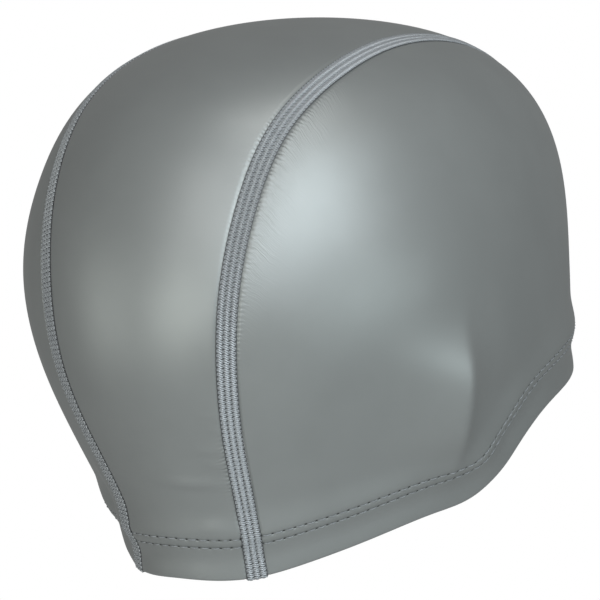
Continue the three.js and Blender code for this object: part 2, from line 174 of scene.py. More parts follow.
def angle_prop(name, description, degrees):
    return bpy.props.FloatProperty(
        name=name, description=description, default=math.radians(degrees), subtype="ANGLE")


class CapFormSettings(bpy.types.PropertyGroup):
    """The driving sizes of the cap's form."""

    depth: length_prop("Depth", "Straight down from the crown to the rim at the nape", 158.6 * MM)
    half_length: length_prop("Half length", "Half the inside length, front to back", 95.5 * MM)
    half_width: length_prop("Half width", "Half the inside width", 74.5 * MM)
    centre_half: length_prop("Centre half width", "Middle of the cap to a seam, at the crown", 36.5 * MM)


class CapSeamSettings(bpy.types.PropertyGroup):
    """The flat seams' bands and threads."""

    width: length_prop("Width", "A seam band on the body of the cap", 5.3 * MM)
    pitch: length_prop("Pitch", "Length of one stitch along the seam", 1.4 * MM)
    radius: length_prop("Thread radius", "Half a covering strand's thickness", 0.3 * MM)
    proud: length_prop("Proud", "How far the threads stand out from the cloth", 0.34 * MM)
    slant: length_prop("Slant", "How far a strand leans along the seam as it crosses", 0.42 * MM)


class CapHemSettings(bpy.types.PropertyGroup):
    """The twin rows of stitches along the hem."""

    lower: length_prop("Lower row", "Height of the lower row over the rim", 11.0 * MM)
    upper: length_prop("Upper row", "Height of the upper row over the rim", 14.2 * MM)
    pitch: length_prop("Pitch", "Length of one stitch along the hem", 3.3 * MM)
    radius: length_prop("Thread radius", "Half a thread's thickness", 0.16 * MM)


class CapFinishSettings(bpy.types.PropertyGroup):
    """Colours and gloss."""

    coat: colour_prop("Coating", "Colour of the coated face", (0.243, 0.256, 0.252))
    coat_metal: share_prop("Metallic", "Share of metal pigment in the coating", 0.6)
    coat_rough: share_prop("Roughness", "Roughness of the coating", 0.43)
    thread: colour_prop("Thread", "Colour of the seam threads", (0.305, 0.322, 0.335))
    thread_metal: share_prop("Thread sheen", "How much the filaments shine", 0.4)
    knit: colour_prop("Knit", "Colour of the uncoated inside", (0.27, 0.29, 0.29))


class CapStageSettings(bpy.types.PropertyGroup):
    """Camera, floor and lights."""

    azimuth: angle_prop("Azimuth", "Where the camera stands round the cap", 212)
    elevation: angle_prop("Elevation", "How high the camera stands", 6)
    distance: length_prop("Distance", "From the camera to the middle of the cap", 1400 * MM)
    view_width: length_prop("View width", "What the image spans at that distance", 180.7 * MM)
    target: bpy.props.FloatVectorProperty(
        name="Target", description="The point that the camera looks at",
        default=(0, 7 * MM, -83.6 * MM), size=3, subtype="TRANSLATION")
    floor_drop: length_prop("Floor", "How far the floor lies below the crown", 1000 * MM)
    floor_glow: share_prop("Floor glow", "Light that the floor gives off itself", 0.05)
    floor_shade: share_prop("Floor shade", "How pale the floor looks by itself", 0.6)
    surround: share_prop("Surround", "Brightness of the pale room", 0.29, 5)


def smooth_curve(xs, ys):
    """A natural cubic curve through the given places."""
    gaps, last = np.diff(xs), len(xs) - 1
    grid, turn = np.eye(last + 1), np.zeros(last + 1)
    rise = np.diff(ys) / gaps
    for i in range(1, last):
        grid[i, i - 1:i + 2] = gaps[i - 1], 2 * (gaps[i - 1] + gaps[i]), gaps[i]
        turn[i] = 3 * (rise[i] - rise[i - 1])
    bend = np.linalg.solve(grid, turn)
    slope = rise - gaps * (2 * bend[:-1] + bend[1:]) / 3

    def at(x):
        i = np.clip(np.searchsorted(xs, x) - 1, 0, last - 1)
        d = x - xs[i]
        return ys[i] + d * (slope[i] + d * (bend[i] + d * (bend[i + 1] - bend[i]) / (3 * gaps[i])))

    return at


def mirrored_curve(rows, value, size, sign):
    """The same curve over the angle, carried on as its mirror image before the first row."""
    xs = np.concatenate([-rows["angle"][:0:-1], rows["angle"]])
    ys = np.concatenate([sign * rows[value][:0:-1], rows[value]])
    return smooth_curve(xs, ys * size)


def unit(vectors):
    return vectors / np.linalg.norm(vectors, axis=-1, keepdims=True)


def dot(a, b):
    return np.sum(a * b, axis=-1)


def scaled(vectors, sizes):
    return vectors * np.asarray(sizes)[..., None]


def runs_along(points):
    """How far each point of a line lies from the first, along the line."""
    return np.concatenate([[0], np.cumsum(np.linalg.norm(np.diff(points, axis=0), axis=1))])


def part_way(values, place):
    """Values at places between the rows of a list, given as row numbers with a fraction."""
    i = np.clip(np.floor(place).astype(int), 0, len(values) - 2)
    share = (place - i)[..., None]
    return (1 - share) * values[i] + share * values[i + 1]


def nearest_on(points, line):
    """Distance from each point to a line of points, and the run along the line of the nearest place."""
    tree = kdtree.KDTree(len(line))
    for i, place in enumerate(line):
        tree.insert(place, i)
    tree.balance()
    flat = points.reshape(-1, 3)
    nearest = np.array([tree.find(point)[1] for point in flat])
    runs = runs_along(line)
    best, run = np.full(len(flat), np.inf), np.zeros(len(flat))
    for shift in (-1, 0):
        start = np.clip(nearest + shift, 0, len(line) - 2)
        way = line[start + 1] - line[start]
        share = np.clip(dot(flat - line[start], way) / dot(way, way), 0, 1)
        gap = np.linalg.norm(flat - line[start] - scaled(way, share), axis=1)
        closer = gap < best
        best = np.where(closer, gap, best)
        run = np.where(closer, runs[start] + share * (runs[start + 1] - runs[start]), run)
    return best.reshape(points.shape[:-1]), run.reshape(points.shape[:-1])


def blend(start, stop, share):
    """Part way between guides, along the great circle."""
    turn = np.arccos(np.clip(dot(start, stop), -1, 1))
    still = turn < NO_TURN
    safe = np.where(still, 1, np.sin(turn))
    near = np.where(still, 1 - share, np.sin((1 - share) * turn) / safe)
    far = np.where(still, share, np.sin(share * turn) / safe)
    return unit(scaled(start, near) + scaled(stop, far))


class Form:
    """The head's form inside the cap, and the lines on it, as guides on a unit sphere."""

    def __init__(self, sizes, seam):
        self.sizes = sizes
        self.band_width = seam.width
        self.drop = mirrored_curve(SECTIONS, "drop", sizes.depth, 1)
        self.length = mirrored_curve(SECTIONS, "length", sizes.half_length, -1)
        self.centre = mirrored_curve(SECTIONS, "centre", sizes.half_length, 1)
        self.width = mirrored_curve(SECTIONS, "width", sizes.half_width, -1)
        self.egg = mirrored_curve(SECTIONS, "egg", 1, 1)
        self.seam_half, self.seam_level = {}, {}
        for name, side in SIDES.items():
            self.seam_half[side] = smooth_curve(SEAM["angle"], SEAM[name] * sizes.centre_half)
            middle = self.aside_guide(SEAM["angle"], side, self.seam_half[side](SEAM["angle"]))
            level = np.hypot(self.normal(middle)[:, 1], self.normal(middle)[:, 2])
            self.seam_level[side] = smooth_curve(SEAM["angle"], level)
        round_to = [-RIM["azimuth"][:0:-1], RIM["azimuth"], 360 - RIM["azimuth"][-2::-1]]
        drops = [RIM["drop"][:0:-1], RIM["drop"], RIM["drop"][-2::-1]]
        self.rim_drop = smooth_curve(np.concatenate(round_to), np.concatenate(drops) * sizes.depth)
        self.swell_curve = smooth_curve(SWELL["height"] * HEM_HEIGHT, SWELL["swell"] * HEM_SWELL)
        self.rim = self.point(self.rim_guide(np.linspace(-180, 180, RIM_POINTS + 1)))

    def point(self, guide):
        angle = np.degrees(np.arctan2(np.hypot(guide[..., 0], guide[..., 1]), guide[..., 2]))
        level = np.hypot(guide[..., 0], guide[..., 1]) + 1e-12
        sideways, backwards = guide[..., 0] / level, guide[..., 1] / level
        return np.stack([
            self.width(angle) * sideways * (1 - self.egg(angle) * backwards),
            self.centre(angle) + self.length(angle) * backwards,
            -self.drop(angle),
        ], axis=-1)

    def slopes(self, guide):
        """Two steps across the guiding sphere, the slopes along them, and the outward normal."""
        helper = np.where(np.abs(guide[..., :1]) < 0.9, [1.0, 0, 0], [0, 1.0, 0])
        first = unit(np.cross(guide, helper))
        steps = [first, np.cross(guide, first)]
        slopes = [
            (self.point(unit(guide + GUIDE_STEP * step)) - self.point(unit(guide - GUIDE_STEP * step)))
            / (2 * GUIDE_STEP) for step in steps]
        normal = unit(np.cross(*slopes))
        return steps, slopes, scaled(normal, np.sign(dot(normal, guide)))

    def normal(self, guide):
        return self.slopes(guide)[2]

    def travel(self, guide, way):
        """Moves guides so that their points travel along the surface by the given vectors."""
        steps, (a, b), _ = self.slopes(guide)
        aa, ab, bb, wa, wb = dot(a, a), dot(a, b), dot(b, b), dot(way, a), dot(way, b)
        size = aa * bb - ab * ab
        return unit(guide + scaled(steps[0], (wa * bb - wb * ab) / size)
                    + scaled(steps[1], (wb * aa - wa * ab) / size))

    def rim_guide(self, azimuth):
        azimuth = np.asarray(azimuth, float)
        drop = self.rim_drop(np.abs(azimuth))
        low, high = np.zeros(azimuth.shape), np.full(azimuth.shape, SECTIONS["angle"][-1])
        for _ in range(SOLVE_STEPS):
            middle = (low + high) / 2
            below = self.drop(middle) > drop
            low, high = np.where(below, low, middle), np.where(below, middle, high)
        down, around = np.radians((low + high) / 2), np.radians(azimuth)
        return np.stack([np.sin(down) * np.sin(around), np.sin(down) * np.cos(around), np.cos(down)], -1)

    def hem_guide(self, azimuth, height):
        """The guides that lie the given heights above the rim, square to it."""
        after, before = (self.point(self.rim_guide(azimuth + step)) for step in (RIM_STEP, -RIM_STEP))
        guide = self.rim_guide(azimuth)
        for _ in range(HEM_WALK_PARTS):
            up = unit(np.cross(self.normal(guide), after - before))
            up = scaled(up, np.sign(up[..., 2]) * height / HEM_WALK_PARTS)
            guide = self.travel(guide, up)
        return guide

    def line_half(self, angle, side, sideways):
        """How far a line beside a seam stands from the middle, moved sideways along the cloth."""
        return self.seam_half[side](angle) + sideways * self.seam_level[side](angle)

    def seam_guide(self, angle, side, sideways):
        angle, sideways = np.broadcast_arrays(np.asarray(angle, float), sideways)
        return self.aside_guide(angle, side, self.line_half(angle, side, sideways))

    def aside_guide(self, angle, side, half):
        """The guides at angles over the crown whose points stand that far from the middle."""
        over = np.radians(angle)
        lean = half / self.sizes.half_width
        for _ in range(SOLVE_STEPS):
            rest = np.sqrt(1 - lean * lean)
            guide = np.stack([side * lean, rest * np.sin(over), rest * np.cos(over)], -1)
            lean = np.minimum(0.99, lean * half / np.abs(self.point(guide)[..., 0]))
        return guide

    def seam_azimuth(self, end, side, sideways, height):
        """The rim azimuths below the places where a seam line, moved sideways, has the given heights."""
        height, sideways = np.broadcast_arrays(np.asarray(height, float), sideways)
        inside, outside = (np.full(height.shape, azimuth) for azimuth in SEAM_END_SEARCH[end])
        for _ in range(SOLVE_STEPS):
            middle = (inside + outside) / 2
            guide = self.hem_guide(side * middle, height)
            half = self.line_half(angle_over_crown(guide), side, sideways)
            over = np.abs(self.point(guide)[..., 0]) > half
            inside, outside = np.where(over, inside, middle), np.where(over, middle, outside)
        return side * (inside + outside) / 2

    def band_half(self, height):
        return self.band_width / 2 * (1 + SEAM_BAND_SPREAD * np.maximum(0, 1 - height / HEM_TOP))

    def from_rim(self, points):
        return nearest_on(points, self.rim)[0]

    def relief(self, guide, height):
        """The hem's swell, the dents, the bulges and the ear ridge, out along the normal."""
        point = self.point(guide)
        azimuth = np.degrees(np.arctan2(guide[..., 0], guide[..., 1]))
        drop = -point[..., 2]
        around = self.sizes.half_width * np.radians(1)
        low = height < SWELL["height"][-1] * HEM_HEIGHT
        out = np.where(low, self.swell_curve(np.maximum(0, height)), 0)
        for side, at, down, across, along, rise in zip(*DENTS.values()):
            wide = (np.abs(azimuth) - at) * around / (across * DENT_SPREAD)
            high = (drop - down * self.sizes.depth) / (along * DENT_SPREAD)
            dent = rise * DENT_DEPTH * np.exp(-(wide * wide + high * high) / 2)
            out = out + np.where(side * azimuth < 0, 0, dent)
        crest = (np.abs(azimuth) - EAR_RIDGE["azimuth"]) * around
        off = np.hypot(crest, EAR_RIDGE_ROUND) - EAR_RIDGE_ROUND
        behind = np.maximum(0, 1 - off / EAR_RIDGE_BEHIND) ** 2
        ridge = EAR_RIDGE_HEIGHT * np.where(crest < 0, behind, np.exp(-off / EAR_RIDGE_BEFORE))
        fade = EAR_RIDGE["fade"] * self.sizes.depth
        below = 1 / (1 + np.exp((EAR_RIDGE["top"] * self.sizes.depth - drop) / fade))
        above = 1 / (1 + np.exp((drop - EAR_RIDGE["bottom"] * self.sizes.depth) / fade))
        return out + ridge * below * above

    def hem_line(self, start, stop, height, columns):
        """A line at one height above the rim, as evenly spaced guides between two rim azimuths."""
        azimuths = (np.linspace(start, stop, columns * LINE_PARTS + 1) + 180) % 360 - 180
        laid = self.hem_guide(azimuths, height)
        keep = self.from_rim(self.point(laid)) > LINE_SLACK * height
        keep[[0, -1]] = True
        laid = laid[keep]
        reached = runs_along(self.point(laid))
        ways = np.linspace(0, reached[-1], columns + 1)
        i = np.clip(np.searchsorted(reached, ways, side="right") - 1, 0, len(laid) - 2)
        return blend(laid[i], laid[i + 1], (ways - reached[i]) / (reached[i + 1] - reached[i]))


def angle_over_crown(guide):
    return np.degrees(np.arctan2(guide[..., 1], guide[..., 2]))


def outside_band(half):
    return half + SEAM_CLEARANCE


def inside_band(half):
    return -half - SEAM_CLEARANCE


def hem_rows(proud, reach, heights):
    """Rows from the rolled edge to the top of the hem: height over the rim and both faces."""
    outside, inside = CLOTH_WALL + proud, TURNED_WALL + proud
    radius, middle = (outside + inside) / 2, (outside - inside) / 2
    rows = []
    for step in range(1, FOLD_STEPS + 1):
        turn = math.pi / 2 * step / FOLD_STEPS
        reach_out = radius * math.sin(turn)
        rows.append((radius * (1 - math.cos(turn)) - reach, middle + reach_out, middle - reach_out))
    rows += [(height, outside, -inside) for height in heights]
    return np.array(rows + [(HEM_TOP, outside, -proud)])


def hem_heights(hem):
    """Heights of the hem's rows, closer together about the stitches."""
    near = np.array([-0.9, -0.55, -0.3, -0.12, 0, 0.12, 0.3, 0.55, 0.9]) * MM
    plain = np.array([2, 3.5, 5, 6.5, 8, 9.2, 12.6]) * MM
    return np.sort(np.concatenate([plain, hem.lower + near, hem.upper + near[:-1], [HEM_HEIGHT]]))


class Wall:
    """A cloth as a grid of places with both its faces."""

    def __init__(self, form, guides, heights, outer, inner):
        self.guides = guides
        self.base = form.point(guides)
        self.normal = form.normal(guides)
        self.height = heights
        lift = form.relief(guides, heights)
        self.outer = self.base + scaled(self.normal, outer + lift)
        self.inner = self.base + scaled(self.normal, inner + lift)

    def press(self, out):
        """Moves the outer face along the normal."""
        self.outer = self.outer + scaled(self.normal, out)


def hemmed_wall(form, guides, rows, ends=1, proud=0.0):
    """A wall that has a hem's rows first, and at both ends if there are two."""
    heights = form.from_rim(form.point(guides))
    outer, inner = np.full((2, *heights.shape), [[[CLOTH_WALL + proud]], [[-proud]]])
    for end, hem in [(slice(len(rows)), rows), (slice(-len(rows), None), rows[::-1])][:ends]:
        heights[end], outer[end], inner[end] = hem[:, :1], hem[:, 1:2], hem[:, 2:]
    return Wall(form, guides, heights, outer, inner)


def hem_guides(form, rows, columns, end, near, far):
    """Hem lines between two seam lines, each named by its end, side and distance off the seam."""
    half = form.band_half(rows[:, 0])
    starts, stops = (
        form.seam_azimuth(at, side, offset(half), rows[:, 0]) for at, side, offset in (near, far))
    if end == "front":
        stops = stops + np.where(starts * stops < 0, np.copysign(360, starts), 0)
    lines = zip(starts, stops, rows[:, 0])
    return np.array([form.hem_line(start, stop, height, columns) for start, stop, height in lines])


def side_wall(form, hem, side):
    """A side panel: the hem from seam to seam, and the field up to the seam above it."""
    rows = hem_rows(0, 0, hem_heights(hem))
    low = hem_guides(
        form, rows, SIDE_COLUMNS, "side", ("nape", side, outside_band), ("front", side, outside_band))
    base = low[-1]
    offset = outside_band(form.band_half(HEM_TOP))
    ends = angle_over_crown(base[[0, -1]])
    arch = form.seam_guide(np.linspace(*ends, SIDE_COLUMNS + 1), side, offset)
    arch[[0, -1]] = base[[0, -1]]
    share = np.linspace(0, 1, SIDE_ROWS + 1)[1:]
    eased = share * (1 - ROW_EASE * (1 - share))
    field = blend(base[None], arch[None], 1 - (1 - eased[:, None]) ** ROW_PULL * np.ones(SIDE_COLUMNS + 1))
    return hemmed_wall(form, np.concatenate([low, field]), rows)


def centre_wall(form, hem):
    """The centre panel, from the nape rim over the crown to the front rim."""
    rows = hem_rows(0, 0, hem_heights(hem))
    near, far = (-1, inside_band), (1, inside_band)
    nape, front = (
        hem_guides(form, rows, CENTRE_COLUMNS, end, (end, *near), (end, *far)) for end in ("nape", "front"))
    share = np.linspace(0, 1, CENTRE_ROWS + 1)
    share = share - CROWN_EASE * np.sin(2 * np.pi * share) / (2 * np.pi)
    offset = inside_band(form.band_half(HEM_TOP))
    edges = []
    for side, column in ((-1, 0), (1, -1)):
        ends = angle_over_crown(np.array([nape[-1][column], front[-1][column]]))
        edges.append(form.seam_guide(ends[0] + (ends[1] - ends[0]) * share, side, offset))
    across = np.linspace(0, 1, CENTRE_COLUMNS + 1)
    plain = blend(edges[0][:, None], edges[1][:, None], across[None] * np.ones((len(share), 1)))
    pull_nape = (nape[-1] - plain[0])[None] * (1 - share[:, None, None]) ** END_PULL
    pull_front = (front[-1] - plain[-1])[None] * share[:, None, None] ** END_PULL
    crown = unit(plain + pull_nape + pull_front)[1:-1]
    return hemmed_wall(form, np.concatenate([nape, crown, front[::-1]]), rows, 2)


def band_wall(form, side, proud, reach, wider=0.0):
    """A seam's band, from the nape rim over the crown to the front rim."""
    rows = hem_rows(proud, reach, BAND_HEIGHTS)
    across = np.linspace(-1, 1, BAND_COLUMNS + 1) * (1 + wider / form.band_half(HEM_TOP))
    ends = {}
    for end in ("nape", "front"):
        height = rows[:, :1] * np.ones(len(across))
        sideways = form.band_half(height) * across
        ends[end] = form.hem_guide(form.seam_azimuth(end, side, sideways, height), height)
    angles = [angle_over_crown(ends[end][-1]) for end in ("nape", "front")]
    share = np.linspace(0, 1, BAND_ROWS + 1)[1:-1, None]
    angles = angles[0] + (angles[1] - angles[0]) * share
    crown = form.seam_guide(angles, side, form.band_half(HEM_TOP) * across)
    return hemmed_wall(form, np.concatenate([ends["nape"], crown, ends["front"][::-1]]), rows, 2, proud)


def new_object(name, points, faces, materials):
    """A mesh object at the origin with the given faces and materials."""
    mesh = bpy.data.meshes.new(name)
    mesh.from_pydata(points.tolist(), [], faces)
    for material in materials:
        mesh.materials.append(material)
    made = bpy.data.objects.new(name, mesh)
    bpy.context.scene.collection.objects.link(made)
    return made


def work_on(made):
    bpy.ops.object.select_all(action="DESELECT")
    made.select_set(True)
    bpy.context.view_layer.objects.active = made


def closed_cloth(name, wall, maps, materials, knit_rows=(0, 0)):
    """A closed body from both faces of a wall, whose inside takes the second material between knit_rows."""
    rows, columns = wall.height.shape
    count = rows * columns
    grid = np.arange(count).reshape(rows, columns)

    def quads(a, b, c, d):
        return np.stack([a, b, c, d], axis=-1).reshape(-1, 4)

    outer = quads(grid[:-1, :-1], grid[:-1, 1:], grid[1:, 1:], grid[1:, :-1])
    inner = quads(grid[:-1, :-1], grid[1:, :-1], grid[1:, 1:], grid[:-1, 1:]) + count
    edges = [
        quads(grid[:-1, 0], grid[1:, 0], grid[1:, 0] + count, grid[:-1, 0] + count),
        quads(grid[:-1, -1], grid[:-1, -1] + count, grid[1:, -1] + count, grid[1:, -1]),
        quads(grid[0, :-1], grid[0, :-1] + count, grid[0, 1:] + count, grid[0, 1:]),
        quads(grid[-1, :-1], grid[-1, 1:], grid[-1, 1:] + count, grid[-1, :-1] + count),
    ]
    faces = np.concatenate([outer, inner, *edges])
    points = np.concatenate([wall.outer.reshape(-1, 3), wall.inner.reshape(-1, 3)])
    corners = points[outer[:, :3]]
    size = np.cross(corners[:, 1] - corners[:, 0], corners[:, 2] - corners[:, 0])
    if dot(size, wall.normal.reshape(-1, 3)[outer[:, 0]]).sum() < 0:
        faces = faces[:, ::-1]
    made = new_object(name, points, faces.tolist(), materials)
    row = np.repeat(np.arange(rows - 1), columns - 1)
    knit = np.zeros(len(faces), int)
    knit[len(outer):len(outer) + len(inner)] = (row >= knit_rows[0]) & (row < knit_rows[1])
    made.data.polygons.foreach_set("material_index", knit)
    corner_of = np.empty(len(made.data.loops), np.int64)
    made.data.loops.foreach_get("vertex_index", corner_of)
    for map_name, values in maps.items():
        layer = made.data.uv_layers.new(name=map_name)
        pairs = np.concatenate([values.reshape(-1, 2)] * 2)[corner_of]
        layer.data.foreach_set("uv", pairs.astype(np.float32).ravel())
    work_on(made)
    bpy.ops.object.mode_set(mode="EDIT")
    bpy.ops.mesh.select_all(action="SELECT")
    bpy.ops.mesh.remove_doubles(threshold=WELD)
    bpy.ops.object.mode_set(mode="OBJECT")
    bpy.ops.object.shade_smooth_by_angle(angle=CLOTH_SMOOTH)
    return made


def tubes(paths, normals, radius, sides):
    """Round strands along many like paths, closed at both ends. paths and normals are strand, step,
    xyz, and radius is one for all or one for each step."""
    strands, steps = paths.shape[:2]
    along = unit(np.gradient(paths, axis=1))
    across = unit(np.cross(along, normals))
    upward = np.cross(across, along)
    turns = np.arange(sides) * 2 * np.pi / sides
    ring = np.cos(turns)[:, None] * upward[:, :, None] + np.sin(turns)[:, None] * across[:, :, None]
    points = paths[:, :, None] + ring * np.reshape(radius, (-1, 1, 1))
    index = np.arange(strands * steps * sides).reshape(strands, steps, sides)
    after = np.roll(index, -1, axis=2)
    walls = np.stack([index[:, :-1], index[:, 1:], after[:, 1:], after[:, :-1]], axis=-1).reshape(-1, 4)
    caps = np.concatenate([index[:, 0], index[:, -1, ::-1]])
    return points.reshape(-1, 3), walls.tolist() + caps.tolist()


def joined_piece(name, parts, materials):
    """One object out of several meshes, each given as points, faces and the number of its material."""
    faces, numbers, start = [], [], 0
    for points, part_faces, number in parts:
        faces += [[corner + start for corner in face] for face in part_faces]
        numbers += [number] * len(part_faces)
        start += len(points)
    made = new_object(name, np.concatenate([points for points, _, _ in parts]), faces, materials)
    made.data.polygons.foreach_set("material_index", numbers)
    work_on(made)
    bpy.ops.object.shade_smooth_by_angle(angle=THREAD_SMOOTH)
    return made


class Ribbon:
    """A closed loop over both faces of a band, for laying strands on by run and share across."""

    def __init__(self, wall):
        self.points = np.concatenate([wall.outer, wall.inner[::-1]])
        self.normals = np.concatenate([wall.normal, -wall.normal[::-1]])
        middle = self.points[:, self.points.shape[1] // 2]
        step = np.linalg.norm(middle - np.roll(middle, 1, axis=0), axis=1)
        self.runs = np.cumsum(step) - step[0]
        self.total = self.runs[-1] + step[0]
        around = np.gradient(np.concatenate([self.points[-2:], self.points, self.points[:2]]), axis=0)[2:-2]
        across = np.gradient(self.points, axis=1)
        square = unit(np.cross(across, around))
        square = scaled(square, np.sign(dot(square, self.normals)))
        count = len(wall.outer)
        for first in (0, count - FOLD_STEPS, count, 2 * count - FOLD_STEPS):
            fold = slice(first, first + FOLD_STEPS)
            self.normals[fold] = square[fold]

    def at(self, run, across):
        """Places and normals at runs along the loop and shares across it from -1 to 1."""
        row = np.interp(run % self.total, np.append(self.runs, self.total), np.arange(len(self.runs) + 1))
        column = (across + 1) / 2 * (self.points.shape[1] - 1)
        i, j = np.floor(row).astype(int), np.clip(np.floor(column).astype(int), 0, self.points.shape[1] - 2)
        u, v = (row - i)[..., None], (column - j)[..., None]
        k = (i + 1) % len(self.runs)
        i = i % len(self.runs)
        place, normal = (
            (1 - u) * ((1 - v) * grid[i, j] + v * grid[i, j + 1])
            + u * ((1 - v) * grid[k, j] + v * grid[k, j + 1]) for grid in (self.points, self.normals))
        return place, unit(normal)


# The threads of a seam: lobes in columns between the needle lines. spread is how far the two
# strands of a lobe stand apart, and girth how thick they are, as shares of pitch and thread radius.
LOBE_COLUMNS = 3
OUTER_LOBE = {"strands": (-1, 1), "steps": 5, "sides": 5, "spread": 0.5, "girth": 1.0}
INNER_LOBE = {"strands": (0,), "steps": 4, "sides": 4, "spread": 0.0, "girth": 1.3}
LOBE_PINCH = 0.32
LOBE_FOOT = 0.3 * MM
LOBE_ARCH = 0.6
LOBE_THIN = 0.62
LOBE_THICK = 1.12
NEEDLE_STEPS = 3
NEEDLE_SIDES = 4
NEEDLE_LENGTH = 0.4
NEEDLE_REACH = 0.97
NEEDLE_GIRTH = 0.7
NEEDLE_SINK = 0.25 * MM
NEEDLE_RISE = 0.42 * MM
CORE_SINK = 0.12 * MM
CORE_GAP = 0.02 * MM
CORE_REACH = SEAM_END_REACH - 0.2 * MM
THREAD_REACH = SEAM_END_REACH - 0.1 * MM


def stitch_runs(ribbon, seam, face):
    """Where the stitches stand on one face of the ribbon, and the length of one."""
    count = round(ribbon.total / 2 / seam.pitch)
    pitch = ribbon.total / 2 / count
    return (np.arange(count)[:, None] + 0.5) * pitch + face * ribbon.total / 2, pitch


def laid_tubes(ribbon, lines, lift, radius, sides):
    """Strands along lines on the ribbon, each line given by its runs and its shares across."""
    laid = [ribbon.at(run, np.broadcast_to(across, run.shape)) for run, across in lines]
    places, normals = (np.concatenate(kind) for kind in zip(*laid))
    return tubes(places + scaled(normals, np.broadcast_to(lift, places.shape[:2])), normals, radius, sides)


def lobes(ribbon, seam, face, kind):
    """The covering threads of one face: arched strands from needle line to needle line."""
    stitch, pitch = stitch_runs(ribbon, seam, face)
    phase = np.linspace(0, 1, kind["steps"] + 1)
    arch = np.sin(np.pi * phase) ** LOBE_ARCH
    girth = seam.radius * kind["girth"] * (LOBE_THIN + (LOBE_THICK - LOBE_THIN) * arch)
    half_gap = pitch / 2 * (LOBE_PINCH + (kind["spread"] - LOBE_PINCH) * arch)
    top = seam.proud - seam.radius * kind["girth"] * LOBE_THICK
    lift = -LOBE_FOOT + (top + LOBE_FOOT) * arch
    middle = stitch + seam.slant * np.sin(2 * np.pi * phase) / 2
    lines = [
        (middle + strand * half_gap, (column + phase) * 2 / LOBE_COLUMNS - 1)
        for column in range(LOBE_COLUMNS) for strand in kind["strands"]]
    return laid_tubes(ribbon, lines, lift, girth, kind["sides"])


def needle_loops(ribbon, seam):
    """Short loops of needle thread along the four needle lines outside, one a stitch."""
    stitch, pitch = stitch_runs(ribbon, seam, 0)
    phase = np.linspace(0, 1, NEEDLE_STEPS + 1)
    run = stitch + pitch * NEEDLE_LENGTH * (phase - 0.5)
    lines = [(run, (2 * line / LOBE_COLUMNS - 1) * NEEDLE_REACH) for line in range(LOBE_COLUMNS + 1)]
    lift = -NEEDLE_SINK + NEEDLE_RISE * np.sin(np.pi * phase)
    return laid_tubes(ribbon, lines, lift, seam.radius * NEEDLE_GIRTH, NEEDLE_SIDES)


def seam_piece(form, seam, name, side, materials):
    """A seam: a thin band, darkened as painted shade, under a covering of threads."""
    # the underlay reaches under the gaps beside the band, where its painted shade shows as thin dark lines
    core = band_wall(form, side, -CORE_SINK, CORE_REACH, SEAM_CLEARANCE - CORE_GAP)
    band = closed_cloth(name, core, {}, materials[:1])
    core_points = np.array([vertex.co for vertex in band.data.vertices])
    core_faces = [list(face.vertices) for face in band.data.polygons]
    bpy.data.objects.remove(band)
    ribbon = Ribbon(band_wall(form, side, 0.0, THREAD_REACH))
    threads = [
        lobes(ribbon, seam, 0, OUTER_LOBE), lobes(ribbon, seam, 1, INNER_LOBE), needle_loops(ribbon, seam)]
    parts = [(core_points, core_faces, 0), *[(*thread, 1) for thread in threads]]
    return joined_piece(name, parts, materials)


# How deep the stitches draw the cloth in and how far round them
DIMPLE_DEPTH = 0.2 * MM
DIMPLE_BEAT = 0.1 * MM
DIMPLE_SPREAD = 0.55 * MM
PUFF_HEIGHT = 0.1 * MM
PUFF_SPREAD = 0.9 * MM
PULL_DEPTH = 0.28 * MM
PULL_SPREAD = 0.4 * MM


def bell(distance, spread):
    return np.exp(-(distance / spread) ** 2)


def hem_dimples(wall, hem, stitches):
    """How the hem stitches pull the cloth in, and how it puffs between them."""
    phase = 2 * np.pi * np.linspace(0, stitches, wall.height.shape[1])
    rows = sum(bell(wall.height - row, DIMPLE_SPREAD) for row in (hem.lower, hem.upper))
    puff = PUFF_HEIGHT * bell(wall.height - (hem.lower + hem.upper) / 2, PUFF_SPREAD)
    return puff - rows * (DIMPLE_DEPTH + DIMPLE_BEAT * np.cos(phase))


def seam_pull(distance):
    """How a seam draws the cloth down beside it."""
    return -PULL_DEPTH * bell(distance, PULL_SPREAD)


def nape_folds(form, wall):
    """Soft folds where the centre panel narrows towards the nape."""
    azimuth = np.degrees(np.arctan2(wall.guides[..., 0], wall.guides[..., 1]))
    out = np.zeros(wall.height.shape)
    for at, drop, across, along, rise in zip(*FOLDS.values()):
        wide = np.radians(azimuth - at) * form.sizes.half_width / (across * MM)
        high = (-wall.base[..., 2] - drop * MM) / (along * MM)
        out += rise * MM * np.exp(-(wide * wide + high * high) / 2)
    return out


class Wire:
    """A socket that takes part in Python sums, each of which adds a Math node."""

    def __init__(self, board, socket):
        self.board, self.socket = board, socket

    def _math(self, operation, *values):
        node = self.board.node("ShaderNodeMath", {"operation": operation}, dict(enumerate(values)))
        return Wire(self.board, node.outputs[0])

    def __add__(self, other):
        return self._math("ADD", self, other)

    def __sub__(self, other):
        return self._math("SUBTRACT", self, other)

    def __rsub__(self, other):
        return self._math("SUBTRACT", other, self)

    def __mul__(self, other):
        return self._math("MULTIPLY", self, other)

    def __truediv__(self, other):
        return self._math("DIVIDE", self, other)

    def __abs__(self):
        return self._math("ABSOLUTE", self)

    __radd__, __rmul__ = __add__, __mul__

    def wave(self):
        return self._math("SINE", self)

    def fraction(self):
        return self._math("FRACT", self)

    def bell(self, spread):
        """1 at zero, and falling away over the given spread."""
        scaled_down = self / spread
        return self._math("EXPONENT", scaled_down * scaled_down * -1)

    def step(self, low, high):
        """From 0 at low to 1 at high, smoothly."""
        node = self.board.node(
            "ShaderNodeMapRange", {"interpolation_type": "SMOOTHSTEP"},
            {"Value": self, "From Min": low, "From Max": high})
        return Wire(self.board, node.outputs["Result"])


